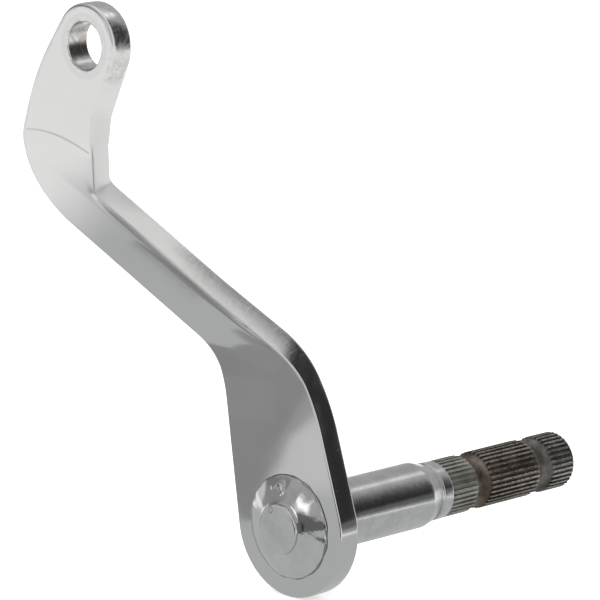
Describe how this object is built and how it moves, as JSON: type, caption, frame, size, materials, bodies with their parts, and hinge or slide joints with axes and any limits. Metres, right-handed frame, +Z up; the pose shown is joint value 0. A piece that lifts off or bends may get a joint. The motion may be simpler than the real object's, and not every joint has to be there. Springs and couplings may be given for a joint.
{
  "type": "gear shift lever",
  "caption": "Chromed joggled shift lever arm with a rod eye, welded to a cross shaft with a ground journal and a splined, grooved end.",
  "frame": {"origin": "on the shaft's axis in the plane of the arm's inner face, where the journal starts", "axes": "+Y along the shaft from the arm towards the splined end, +Z up, with the rod eye above the shaft on the -X side"},
  "size_m": [0.0822, 0.1179, 0.1372],
  "materials": {
    "arm_chrome": "polished chrome plate",
    "shaft_steel": "chromed ground journal, unplated dark splines",
    "weld_chrome": "polished chrome plate over a dressed weld"
  },
  "bodies": {
    "root": {"lever_arm": "arm_chrome", "splined_shaft": "shaft_steel", "weld_ring": "weld_chrome"}
  },
  "joints": []
}
